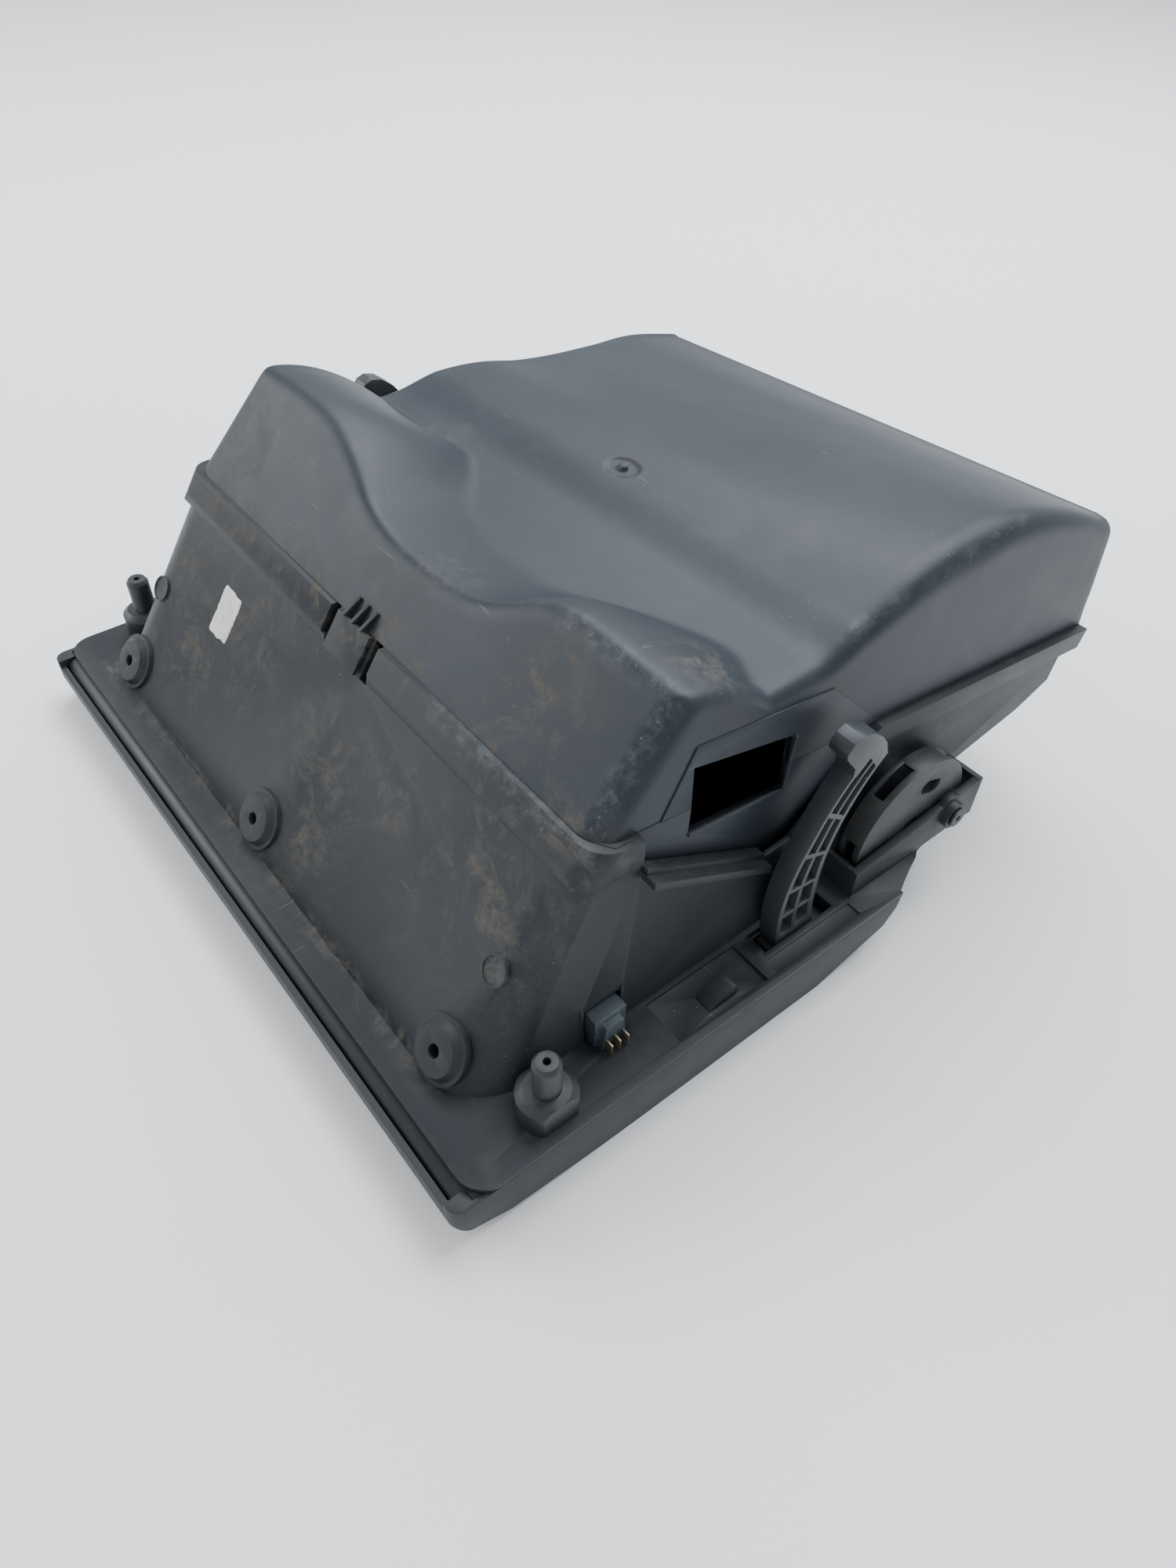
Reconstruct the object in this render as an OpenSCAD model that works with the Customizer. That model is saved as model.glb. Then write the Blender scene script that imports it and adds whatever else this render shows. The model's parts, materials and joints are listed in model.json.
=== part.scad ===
// Car glove box unit: skewed storage bin in two mouldings on a flat front frame,
// with a bottom-hinged lid on drum hinges, hooked stop arms and damper rollers.
// Units are millimetres. +X runs toward the lamp opening, +Y toward the hinge, +Z up from the lid.

/* [Front frame] */
// Frame width
frame_w = 400; // [360:1:440]
// Frame depth from front edge to hinge edge
frame_d = 238; // [220:1:260]
// Frame plate thickness
frame_t = 3; // [2:0.1:4]
// Radius of the front corners
corner_r = 12; // [8:1:24]
// Setback of the plate edge behind the frame front
plate_y = 1.8; // [0:0.1:3]
// Depth of the shallow bays in the plate
bay_depth = 1.6; // [0.5:0.1:2]

/* [Bin] */
// Wall thickness of both mouldings
wall = 2.6; // [2:0.1:4]
// Bin half width at the frame
foot_half_w = 173; // [160:0.5:176]
// Bin half width at the parting line
part_half_w = 164; // [150:0.5:170]
// Bin half width at the roof
roof_half_w = 156; // [145:0.5:165]
// Distance of the front wall foot from the frame edge
foot_y = 15.6; // [10:0.1:25]
// Lean of the lower front wall from vertical
lean = 34.6; // [25:0.1:45]
// Height of the parting line at the front
part_z = 100; // [80:1:120]
// Height of the parting line at the rear
part_rear_z = 56; // [40:1:80]
// Depth position of the rear end of the bin
rear_y = 399; // [360:1:430]
// Radius of the upright front corners
edge_r = 28; // [10:1:40]
// Height of the parting band
band_h = 13; // [8:1:20]
// Projection of the parting band
band_out = 2.6; // [1:0.1:5]

/* [Roof] */
// Lean of the upper front wall from vertical
upper_lean = 43; // [30:0.5:50]
// Height of the front crest blocks
crest_z = 144; // [120:1:160]
// Depth of the scallop in the front crest
scallop = 19.5; // [5:0.5:30]
// Depth position of the roof valley
valley_y = 196; // [170:1:220]
// Height of the roof valley at the lamp side
valley_z = 124; // [110:1:140]
// Depth position of the roof hump
hump_y = 298; // [270:1:330]
// Height of the roof hump at the lamp side
hump_z = 144.5; // [130:0.5:160]
// Height of the roof at the rear end
tail_z = 110; // [90:1:130]
// Fall of the roof toward the plain side, degrees
roof_fall = 5; // [0:0.5:8]

/* [Hinge and arms] */
// Hinge axis depth position
hinge_y = 257; // [250:0.5:265]
// Hinge axis height
hinge_z = 18.5; // [15:0.5:24]
// Radius of the hinge axles
axle_r = 4; // [3:0.5:6]
// Radial clearance of axles in their holes
pin_fit = 0.05; // [0.02:0.01:0.1]
// Outer radius of the stop arm
arm_r = 88; // [84:0.5:92]
// Inner side position of the stop arm
arm_x = 174.8; // [170:0.1:180]
// Stop arm width along the hinge axis
arm_t = 9.7; // [8:0.1:12]
// Outer radius of the hook
hook_r = 111; // [106:1:116]

/* [Drum and damper] */
// Drum outer radius
drum_r = 35.5; // [33:0.5:38]
// Inner radius of the drum rim
rim_r = 32.3; // [30:0.1:34]
// Inner side position of the drum
drum_x = 171; // [170.5:0.1:173]
// Drum width
drum_t = 11; // [8:0.5:12]
// Damper axis depth position
damper_y = 281; // [275:0.5:285]
// Damper axis height
damper_z = 15; // [10:0.5:20]
// Damper roller radius
roller_r = 7.9; // [6:0.1:9]
// Side position of the outer pocket face
pocket_x = 187; // [186:0.5:190]
// Depth position of the pocket front face
pocket_y = 216.5; // [214:0.5:218]

/* [Lid] */
// Lid skin thickness
skin_t = 2.6; // [2:0.1:4]
// Lowest point of the lid skin
skin_z = -31; // [-36:0.5:-25]
// Top of the lid liner
liner_z = -4.2; // [-6:0.1:-3.4]
// Radius of the lid corners
lid_r = 6; // [5:0.5:8]
// Handle opening width
handle_w = 104; // [80:1:140]
// Handle opening depth
handle_d = 44; // [30:1:60]
// Handle centre from the frame edge
handle_y = 42; // [35:1:60]

/* [Fixings] */
// Seat spacing from the centre line
seat_x = 147; // [130:1:160]
// Screw hole radius in the seats
seat_hole_r = 3; // [2:0.1:4]
// Guide peg offset from the centre line
peg_x = 186; // [180:0.5:190]
// Guide peg distance from the frame edge
peg_y = 45; // [30:1:60]

/* [Hidden] */
$fn = 64;
eps = 0.01;
part_y = foot_y + part_z * tan(lean);
tilt = atan((part_z - part_rear_z) / (rear_y - part_y));
crest_y = part_y + (crest_z - part_z) * tan(upper_lean);
mid_y = 199;
rise = -skin_z;

// Raises everything so the lid rests on the ground and the footprint is centred.
module place() {
    translate([0, -mid_y, rise]) children();
}

// Profile in depth and height swept along the width.
module along_x(x0, x1, pts) {
    rotate([90, 0, 90])
        translate([0, 0, x0])
            linear_extrude(x1 - x0)
                polygon(pts);
}

// Profile in width and height swept parallel to the parting plane.
module along_parting(pts) {
    translate([0, part_y, part_z])
        rotate([-tilt, 0, 0])
            translate([0, 500, 0])
                rotate([90, 0, 0])
                    linear_extrude(800)
                        polygon(pts);
}

module rod_x(x0, x1, y, z, r) {
    translate([x0, y, z])
        rotate([0, 90, 0])
            cylinder(h = x1 - x0, r = r);
}

module box(x0, x1, y0, y1, z0, z1) {
    translate([x0, y0, z0])
        cube([x1 - x0, y1 - y0, z1 - z0]);
}

module rounded_plan(hw, y0, y1, r, h) {
    linear_extrude(h)
        union() {
            translate([-hw + r, y0])
                square([2 * hw - 2 * r, y1 - y0]);
            translate([-hw, y0 + r])
                square([2 * hw, y1 - y0 - r]);
            for (s = [-1, 1])
                translate([s * (hw - r), y0 + r])
                    circle(r);
        }
}

// Upright prism with two rounded front corners, leaning with the front wall.
module leaning_block(hw, angle, y, z, r, inset) {
    translate([0, y, z])
        rotate([-angle, 0, 0])
            translate([0, 0, -120])
                rounded_plan(hw - inset, inset, 600, max(r - inset, 4), 460);
}

function parting(y) = part_z - (y - part_y) * tan(tilt);
function ease(u) = 0.5 - 0.5 * cos(180 * max(0, min(1, u)));
function roof(y) =
    y < valley_y ? valley_z + 9 * (1 - ease((y - crest_y) / (valley_y - crest_y)))
    : y < hump_y ? valley_z + (hump_z - valley_z) * ease((y - valley_y) / (hump_y - valley_y))
    : hump_z - (hump_z - tail_z) * pow((y - hump_y) / (rear_y + 6 - hump_y), 2);
function crest(x) =
    crest_z + 1 - scallop * pow(0.5 + 0.5 * cos(180 * min(1, abs(x - 8) / 95)), 0.65);

// ---------- lower moulding ----------
function lower_floor(t) = concat(
    [
        [354, 26 + t],
        [307, 20 + t]
    ],
    t > 0 ? [
        [232, -4 + t],
        [232, -frame_t - 6]
    ] : [
        [frame_d - 1, -frame_t]
    ]
);
function lower_profile(t, over) = concat([
    [foot_y + t / cos(lean) - (frame_t + over) * tan(lean), -frame_t - over],
    [foot_y + t / cos(lean) + (part_z + over) * tan(lean), part_z + over],
    [rear_y - t, parting(rear_y) + over],
    [rear_y - 5 - t, 47.5 + t],
    [383 - t, 46 + t],
    [378 - t, 33 + t]
], lower_floor(t));

module lower_body(t, over) {
    intersection() {
        along_x(-220, 220, lower_profile(t, over));
        along_parting([
            [-foot_half_w - 2 + t, -132],
            [foot_half_w + 2 - t, -132],
            [part_half_w - t, over],
            [-part_half_w + t, over]
        ]);
        leaning_block(foot_half_w + 1, lean, foot_y, 0, edge_r, t);
    }
}

module band() {
    intersection() {
        along_x(-220, 220, [
            [part_y - (band_h + 2) * tan(lean) - 0.1, part_z - band_h - 2],
            [part_y - (band_h - 4) * tan(lean) - band_out / cos(lean), part_z - band_h + 4],
            [part_y - band_out / cos(lean), part_z],
            [rear_y, parting(rear_y)],
            [rear_y - 3, parting(rear_y) - band_h * 0.8],
            [part_y + 30, parting(part_y + 30) - band_h]
        ]);
        leaning_block(part_half_w + band_out, lean, foot_y - band_out, 0, 12, 0);
    }
}

// Side outline of the apron that carries the lamp opening.
function apron(g) = [
    [104 - g, part_z + 40],
    [104 - g, 80 - g],
    [172, 41 - g],
    [188, 42 - g],
    [203 + g, 54],
    [222 + g, 72],
    [240 + g, 80],
    [240 + g, part_z + 40]
];

// Lamp opening in the side wall.
lamp_hole = [
    [130, 113.2],
    [183, 100],
    [181.8, 72.6],
    [129.6, 80]
];

module seat(x, hole) {
    translate([x, foot_y + 12 * tan(lean), 12])
        rotate([90 - lean, 0, 0])
            if (hole)
                translate([0, 0, -12])
                    cylinder(h = 30, r = seat_hole_r);
            else {
                translate([0, 0, -1])
                    cylinder(h = 3, r = 14.5);
                cylinder(h = 5, r1 = 14, r2 = 10.5);
            }
}

module ejector_mark(x, y) {
    translate([x, y, (y - foot_y) / tan(lean)])
        rotate([90 - lean, 0, 0])
            translate([0, 0, -1])
                difference() {
                    cylinder(h = 2.2, r = 6.6);
                    translate([0, 0, 1.7])
                        cylinder(h = 2, r = 5.8);
                }
}

// Hinge pocket: front, outer and rear wall round the drum, with the damper lobe.
module pocket() {
    difference() {
        union() {
            along_x(pocket_x - 3.6, pocket_x, [
                [pocket_y, -frame_t],
                [262, -frame_t],
                [265.5, 1],
                [302.4, 1.5],
                [302.4, 25],
                [pocket_y, 15.5]
            ]);
            rod_x(pocket_x - 3.6, pocket_x, damper_y, damper_z, 9.6);
            rod_x(pocket_x - 3.6, pocket_x + 3.6, damper_y, damper_z, 7);
        }
        rod_x(pocket_x - 6, pocket_x + 6, damper_y, damper_z, 3 + pin_fit);
    }
    box(part_half_w + 2, pocket_x, pocket_y, pocket_y + 2.4, -frame_t, 15.5);
    box(part_half_w, pocket_x, 299.8, 302.4, 12, 25);
}

// Corner of the plate behind the pocket, rounded off toward the side.
module plate_tab() {
    translate([0, 0, -frame_t])
        linear_extrude(frame_t)
            polygon([
                [166, 230],
                [200, 230],
                [200, 234],
                [197.6, 240.2],
                [195.5, 244.5],
                [192, 252.5],
                [189.2, 260],
                [187, 263],
                [166, 263]
            ]);
}

module lower_housing() {
    color([0.16, 0.18, 0.2]) {
        place()
            difference() {
                union() {
                    difference() {
                        union() {
                            translate([0, 0, -frame_t])
                                rounded_plan(frame_w / 2, plate_y, frame_d, corner_r, frame_t);
                            lower_body(0, 0);
                            band();
                            for (x = [-seat_x, -5, seat_x])
                                seat(x, false);
                            for (s = [-1, 1]) {
                                ejector_mark(s * 150, 48);
                                mirror([s < 0 ? 1 : 0, 0, 0])
                                    plate_tab();
                            }
                        }
                        lower_body(wall, 4);
                        for (x = [-seat_x, -5, seat_x])
                            seat(x, true);
                        // clip slots in the band
                        translate([0, part_y, part_z])
                            rotate([-lean, 0, 0]) {
                                translate([-19, -8, -15])
                                    cube([4, 14, 18]);
                                translate([14.8, -8, -19])
                                    cube([5.2, 14, 22]);
                                translate([-16, -8, -19.6])
                                    cube([32, 7.9, 22]);
                            }
                        // notch filled by the lamp apron of the upper moulding
                        along_x(part_half_w - 12, part_half_w + 30, apron(0.1));
                        // gaps around the lamp switch
                        box(foot_half_w - 8, foot_half_w + 6, 74, 93, -0.01, 19);
                    }
                    for (s = [-1, 1])
                        mirror([s < 0 ? 1 : 0, 0, 0])
                            pocket();
                    // ledge under the lamp apron
                    difference() {
                        along_x(part_half_w - 5, 173.4, [
                            [104, 79.2],
                            [113, 74.2],
                            [172, 40.4],
                            [172, 36.4],
                            [113, 70.2],
                            [104, 75.2]
                        ]);
                        lower_body(wall, 4);
                    }
                    // raised inner step of the ledge
                    along_x(part_half_w - 1, 168.4, [
                        [104.5, 82.2],
                        [113, 77.2],
                        [172, 43.4],
                        [172, 38],
                        [113, 72],
                        [104.5, 76]
                    ]);
                    // switch pocket behind the slot
                    for (y = [72.4, 93])
                        box(foot_half_w - 22, foot_half_w - 1.5, y, y + 1.6, 0, 21);
                }
                for (s = [-1, 1])
                    mirror([s < 0 ? 1 : 0, 0, 0]) {
                        // arm slot and drum opening in the plate
                        box(arm_x - 0.8, arm_x + arm_t + 0.9, 163.6, 206, -frame_t - 1, 0.01);
                        box(drum_x - 0.5, pocket_x - 3.6, pocket_y + 2.4, 264, -frame_t - 1, 0.01);
                        // shallow bays
                        box(174, 196, 105, 155, -bay_depth, 1);
                        box(188.6, 196, 160, 213, -bay_depth / 2, 1);
                    }
            }
        place()
            for (s = [-1, 1])
                mirror([s < 0 ? 1 : 0, 0, 0])
                    along_x(183.5, 192.5, [
                        [125, -bay_depth],
                        [140, -bay_depth],
                        [140, 4.6],
                        [138.5, 5.6],
                        [136.5, 5.6],
                        [125, -1]
                    ]);
    }
}

// ---------- upper moulding ----------
module roof_body(t) {
    tip = [for (i = [0 : 16]) let (y = rear_y + 6 - t - i * (rear_y + 6 - t - crest_y + 24) / 16)
        [y, roof(y) - 1.12 * t]];
    translate([roof_half_w, 0, 0])
        rotate([0, -roof_fall, 0])
            translate([-roof_half_w, 0, 0])
                along_x(-230, 200, concat(
                    [
                        [crest_y - 60, 0],
                        [rear_y + 6 - t, 0]
                    ],
                    tip
                ));
}

module ridge_body(t) {
    intersection() {
        along_x(-200, 200, [
            [part_y - 4, 60],
            [250, 60],
            [208, 104 - t],
            [172, 122 - t],
            [148, 134 - t],
            [crest_y + 6, crest_z + 2 - t],
            [part_y - 4, crest_z + 2 - t]
        ]);
        rotate([90, 0, 0])
            translate([0, 0, -300])
                linear_extrude(300)
                    polygon(concat(
                        [
                            [-200, 20],
                            [200, 20]
                        ],
                        [for (i = [0 : 32]) let (x = 200 - i * 12.5) [x, crest(x) - 1.15 * t]]
                    ));
    }
}

module upper_body(t, over) {
    intersection() {
        union() {
            roof_body(t);
            ridge_body(t);
        }
        along_parting([
            [-part_half_w + 2 + t, -over],
            [part_half_w - 2 - t, -over],
            [roof_half_w - 2 - t, 110],
            [-roof_half_w + 2 + t, 110]
        ]);
        leaning_block(part_half_w - 1, upper_lean, part_y + 1, part_z, 16, t);
        along_x(-220, 220, [
            [part_y - 30, -over],
            [rear_y - t - 0.5, parting(rear_y) - over],
            [rear_y + 6 - t, tail_z + 4],
            [rear_y + 6 - t, 200],
            [part_y - 30, 200]
        ]);
    }
}

module upper_shell() {
    color([0.26, 0.29, 0.33])
        place()
            difference() {
                union() {
                    upper_body(0, -0.01);
                    // moulding gate mark on the roof
                    translate([-2, 231, 108])
                        cylinder(h = 6.5, r1 = 5, r2 = 2);
                    // apron below the parting line
                    intersection() {
                        along_x(part_half_w - 4, part_half_w - 1.4, apron(0));
                        along_x(100, 200, [
                            [90, 0],
                            [300, 0],
                            [300, 88],
                            [90, 117]
                        ]);
                    }
                    // raised rim of the lamp opening
                    along_x(part_half_w - 5, part_half_w - 0.6, [
                        [129, 115],
                        [186, 101],
                        [184.6, 70.4],
                        [128.6, 78.6]
                    ]);
                }
                upper_body(wall, 6);
                along_x(140, 180, lamp_hole);
            }
}

module snap_clip() {
    color([0.12, 0.13, 0.15])
        place()
            translate([0.2, part_y, part_z])
                rotate([-lean, 0, 0]) {
                    translate([-12.8, -2.9, -18.5])
                        cube([25.6, 1.8, 17.5]);
                    translate([-12.8, -2.9, -3])
                        cube([25.6, 2.7, 2.6]);
                    for (x = [-7, 0, 7])
                        along_x(x - 1, x + 1, [
                            [-4.6, -0.6],
                            [1.4, -0.6],
                            [1.4, 9],
                            [0, 9]
                        ]);
                }
}

module paper_label() {
    color([0.9, 0.9, 0.88])
        place()
            translate([-90.5, foot_y, 0])
                rotate([-lean, 0, 0])
                    translate([-9, -0.35, 61.5])
                        cube([18, 0.34, 26]);
}

module guide_peg(s) {
    color([0.15, 0.16, 0.18])
        place()
            mirror([s < 0 ? 1 : 0, 0, 0])
                difference() {
                    union() {
                        translate([peg_x, peg_y, 0])
                            cylinder(h = 12.5, r = 12.5);
                        translate([peg_x, peg_y, 12.5])
                            cylinder(h = 2.5, r1 = 12.5, r2 = 9.5);
                        translate([peg_x, peg_y, 15])
                            cylinder(h = 17, r = 5.8);
                        translate([peg_x, peg_y, 32])
                            cylinder(h = 2, r1 = 5.8, r2 = 4.4);
                    }
                    translate([peg_x, peg_y, 8])
                        cylinder(h = 30, r = 1.6);
                    box(peg_x + 9.5, peg_x + 20, peg_y - 20, peg_y + 20, -1, 40);
                    box(peg_x - 20, peg_x - 11.5, peg_y - 20, peg_y + 20, -1, 40);
                }
}

module switch_body() {
    color([0.3, 0.35, 0.4])
        place() {
            difference() {
                union() {
                    box(foot_half_w - 11, foot_half_w + 4, 75.5, 91.5, 0, 17);
                    along_x(foot_half_w - 4, foot_half_w + 7, [
                        [77, 0],
                        [90, 0],
                        [88, 14],
                        [79, 14]
                    ]);
                }
                translate([foot_half_w - 6.5, 83.5, -1])
                    cylinder(h = 13, r = 3.05);
            }
        }
}

module switch_terminals() {
    color([0.75, 0.7, 0.5])
        place()
            for (y = [79, 83.2, 87.4])
                box(foot_half_w + 7, foot_half_w + 11, y - 0.4, y + 0.4, 1, 7);
}

module switch_plunger() {
    color([0.8, 0.8, 0.78])
        place()
            translate([foot_half_w - 6.5, 83.5, -3.6])
                cylinder(h = 9, r = 3);
}

module hinge_axle(s) {
    color([0.7, 0.7, 0.7])
        place()
            mirror([s < 0 ? 1 : 0, 0, 0])
                rod_x(166.4, drum_x + drum_t - 0.4, hinge_y, hinge_z, axle_r);
}

module damper_roller(s) {
    color([0.55, 0.56, 0.58])
        place()
            mirror([s < 0 ? 1 : 0, 0, 0])
                difference() {
                    union() {
                        rod_x(drum_x + 1, drum_x + 6, damper_y, damper_z, roller_r);
                        rod_x(drum_x + 5, pocket_x + 4.4, damper_y, damper_z, 3);
                        rod_x(pocket_x + 4, pocket_x + 5.4, damper_y, damper_z, 5);
                    }
                    rod_x(pocket_x + 2.4, pocket_x + 6, damper_y, damper_z, 1.6);
                }
}

module hinge_drum(s) {
    reach = sqrt(pow(damper_y - hinge_y, 2) + pow(damper_z - hinge_z, 2));
    rest = atan2(damper_z - hinge_z, damper_y - hinge_y);
    color([0.14, 0.15, 0.16])
        place()
            mirror([s < 0 ? 1 : 0, 0, 0])
                difference() {
                    union() {
                        rod_x(drum_x, drum_x + drum_t, hinge_y, hinge_z, drum_r);
                        // lug under the liner
                        along_x(drum_x, drum_x + drum_t, [
                            [209, -7.1],
                            [209, -12],
                            [228, -13.6],
                            [248, -15],
                            [244, -7.1]
                        ]);
                    }
                    rod_x(drum_x - 1, drum_x + drum_t + 1, hinge_y, hinge_z, axle_r + pin_fit);
                    // hollow open toward the bin
                    difference() {
                        rod_x(drum_x - 1, drum_x + drum_t - 3, hinge_y, hinge_z, rim_r);
                        rod_x(drum_x - 2, drum_x + drum_t, hinge_y, hinge_z, 8);
                    }
                    // arc slot for the damper shaft
                    along_x(drum_x + drum_t - 4, drum_x + drum_t + 1, concat(
                        arc(reach + 4, rest + 11, rest - 71, 16),
                        arc(reach - 4, rest - 71, rest + 11, 16)
                    ));
                    // rim windows
                    for (a = [25, 97, 313])
                        translate([drum_x + 2.2, hinge_y, hinge_z])
                            rotate([a, 0, 0])
                                translate([0, -10, drum_r - 8])
                                    cube([5.6, 20, 10]);
                    // oval hole in the face
                    translate([drum_x + drum_t - 5, hinge_y, hinge_z])
                        rotate([-22, 0, 0])
                            for (k = [-3, 0, 3])
                                translate([0, k, 21])
                                    rotate([0, 90, 0])
                                        cylinder(h = 8, r = 4);
                }
}

// ---------- lid ----------
// Quarter circle in depth and height.
function bend(y, z, r, a0, a1) = [for (i = [0 : 8]) let (a = a0 + (a1 - a0) * i / 8)
    [y + r * cos(a), z + r * sin(a)]];

module lid_outer_skin() {
    side = frame_w / 2 - skin_t;
    color([0.08, 0.085, 0.09])
        place()
            difference() {
                intersection() {
                    along_x(-frame_w / 2, frame_w / 2, [
                        [-7, -frame_t - 0.35],
                        [-7, -15],
                        [0, -21],
                        [18, -27.5],
                        [60, -30.4],
                        [90, skin_z],
                        [188, skin_z],
                        [213, -23.6],
                        [230, -19],
                        [236.5, -10],
                        [237.5, -5],
                        [237.5, -frame_t - 0.35]
                    ]);
                    translate([0, 0, -60])
                        rounded_plan(frame_w / 2, -7, 245, lid_r, 70);
                }
                along_x(-side, side, [
                    [2.2, 5],
                    [2.2, -16.6],
                    [18, -24.9],
                    [60, -27.8],
                    [90, skin_z + skin_t],
                    [187, skin_z + skin_t],
                    [211.6, -21.2],
                    [228, -16.8],
                    [233.8, -9.6],
                    [234.6, 5]
                ]);
                // notches for the drums
                for (s = [-1, 1])
                    mirror([s < 0 ? 1 : 0, 0, 0])
                        box(drum_x - 0.4, drum_x + drum_t + 0.4, 224, 240, -15.6, 0);
                // channel behind the front rim, closed by a solid block at each corner
                along_x(-side + 5.2, side - 5.2, [
                    [-4, 5],
                    [-4, -13],
                    [2.3, -17.8],
                    [2.3, 5]
                ]);
                box(-side + 5.2, side - 5.2, -8, 2.3, -7.2, 5);
                box(-handle_w / 2, handle_w / 2, handle_y - handle_d / 2, handle_y + handle_d / 2, -40, -20);
                translate([86, handle_y, -40])
                    cylinder(h = 24, r = 11);
            }
}

module lid_inner_liner() {
    lip = frame_w / 2 - skin_t - 5.5;
    color([0.11, 0.12, 0.13])
        place()
            difference() {
                union() {
                    box(-frame_w / 2 + 2.9, frame_w / 2 - 2.9, 2.5, 233.6, liner_z - 2.4, liner_z);
                    // rolled front lip
                    along_x(-lip, lip, concat(
                        bend(2.4, liner_z - 5.9, 5.9, 180, 90),
                        [[9, liner_z], [9, liner_z - 2.4]],
                        bend(2.4, liner_z - 5.9, 3.5, 90, 180)
                    ));
                    for (x = [-120, -40, 40, 120]) {
                        translate([x, 78, -27.4])
                            cylinder(h = 27.4 + liner_z - 1, r = 5);
                        translate([x, 216, -18])
                            cylinder(h = 18 + liner_z - 1, r = 5);
                    }
                }
                for (s = [-1, 1])
                    mirror([s < 0 ? 1 : 0, 0, 0]) {
                        box(arm_x - 0.2, arm_x + arm_t + 0.2, 167, 206, -20, 0);
                        box(drum_x - 0.3, drum_x + drum_t + 0.3, 220, 240, -20, 0);
                    }
                for (x = [-120, -40, 40, 120], y = [78, 216])
                    translate([x, y, -40])
                        cylinder(h = 50, r = 2);
                box(-10, 10, 24.5, 39.6, -20, 0);
                // raised tray edge grooves
                for (x = [-108, 108])
                    box(x - 3, x + 3, 100, 200, liner_z - 1, 0);
            }
}

module liner_screws() {
    color([0.6, 0.61, 0.63])
        place()
            for (x = [-120, -40, 40, 120], y = [78, 216])
                translate([x, y, 0]) {
                    translate([0, 0, -17])
                        cylinder(h = 17 + liner_z, r = 1.9);
                    difference() {
                        translate([0, 0, liner_z])
                            cylinder(h = 0.8, r = 4);
                        for (a = [0, 90])
                            rotate([0, 0, a])
                                translate([-2.4, -0.5, liner_z + 0.3])
                                    cube([4.8, 1, 2]);
                    }
                }
}

module stop_buffers() {
    color([0.05, 0.05, 0.05])
        place()
            for (x = [-186, 186], y = [20, 130])
                translate([x, y, liner_z])
                    cylinder(h = 0.9, r = 6);
}

// Point on the arm circle measured from the hinge axis.
function polar(r, a) = [hinge_y + r * cos(a), hinge_z + r * sin(a)];
function arc(r, a0, a1, n) = [for (i = [0 : n]) polar(r, a0 + (a1 - a0) * i / n)];

// Inner radius of the stop arm, widening toward the hook.
function arm_in(a) = 66 + 16.5 * pow(max(0, (178 - a) / 58), 1.35);
// Outer radius of the stop arm.
function arm_out(a) = arm_r + 4.5 * max(0, (152 - a) / 20);
// Radius at a fraction of the arm width.
function arm_at(a, f) = arm_in(a) + f * (arm_out(a) - arm_in(a));
function arm_strip(a0, a1, f0, f1) = concat(
    [for (k = [0 : 4]) let (a = a0 + (a1 - a0) * k / 4) polar(arm_at(a, f1), a)],
    [for (k = [4 : -1 : 0]) let (a = a0 + (a1 - a0) * k / 4) polar(arm_at(a, f0), a)]
);

// Bores for the two rivets of the stop arm foot.
module rivet_bores() {
    for (y = [176, 198])
        rod_x(arm_x - 1, arm_x + arm_t + 1, y, -17, 2);
}

module stop_arm(s) {
    // angles of the cross ribs between the open cells
    ribs = [124.4, 143, 157, 170, 181, 191.5];
    color([0.2, 0.22, 0.24])
        place()
            mirror([s < 0 ? 1 : 0, 0, 0]) {
                difference() {
                    along_x(arm_x, arm_x + arm_t, concat(
                        [for (a = [122 : 4 : 206]) polar(arm_out(a), a)],
                        [for (a = [210 : -5 : 120]) polar(arm_in(a), a)]
                    ));
                    // two rows of open cells on the outward side
                    for (k = [0 : 4]) {
                        along_x(arm_x + 2.4, arm_x + arm_t + 1,
                            arm_strip(ribs[k] + 0.8, ribs[k + 1] - 0.8, 0.57, 0.87));
                        along_x(arm_x + 2.4, arm_x + arm_t + 1,
                            arm_strip(ribs[k] + 0.8, ribs[k + 1] - 0.8, 0.14, 0.46));
                    }
                    rivet_bores();
                }
                // hook head
                along_x(arm_x, arm_x + arm_t, [
                    polar(arm_in(122.6), 122.6),
                    polar(arm_in(120.4) + 1, 120.2),
                    polar(90, 119.4),
                    polar(97, 120),
                    polar(hook_r - 6, 121.8),
                    polar(hook_r - 1.4, 124),
                    polar(hook_r, 126.4),
                    polar(hook_r - 1.2, 128.8),
                    polar(hook_r - 3.4, 129.6),
                    polar(arm_out(130) + 3, 129.8),
                    polar(arm_out(131.4), 131.4),
                    polar(arm_out(131.4) - 2.4, 131.2),
                    polar(arm_out(124.6) - 2.4, 124.6),
                    polar(arm_at(123, 0.5), 123)
                ]);
                // foot under the liner, drilled for the rivets
                difference() {
                    along_x(arm_x, arm_x + arm_t, [
                        [170, -24],
                        [199, -24],
                        [205, -22.2],
                        [205, -7.1],
                        [170, -7.1]
                    ]);
                    rivet_bores();
                }
            }
}

module arm_rivets() {
    color([0.66, 0.66, 0.64])
        place()
            for (x = [-1, 1], y = [176, 198])
                rod_x(x * (arm_x + arm_t / 2) - 6.4, x * (arm_x + arm_t / 2) + 6.4, y, -17, 2);
}

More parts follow.
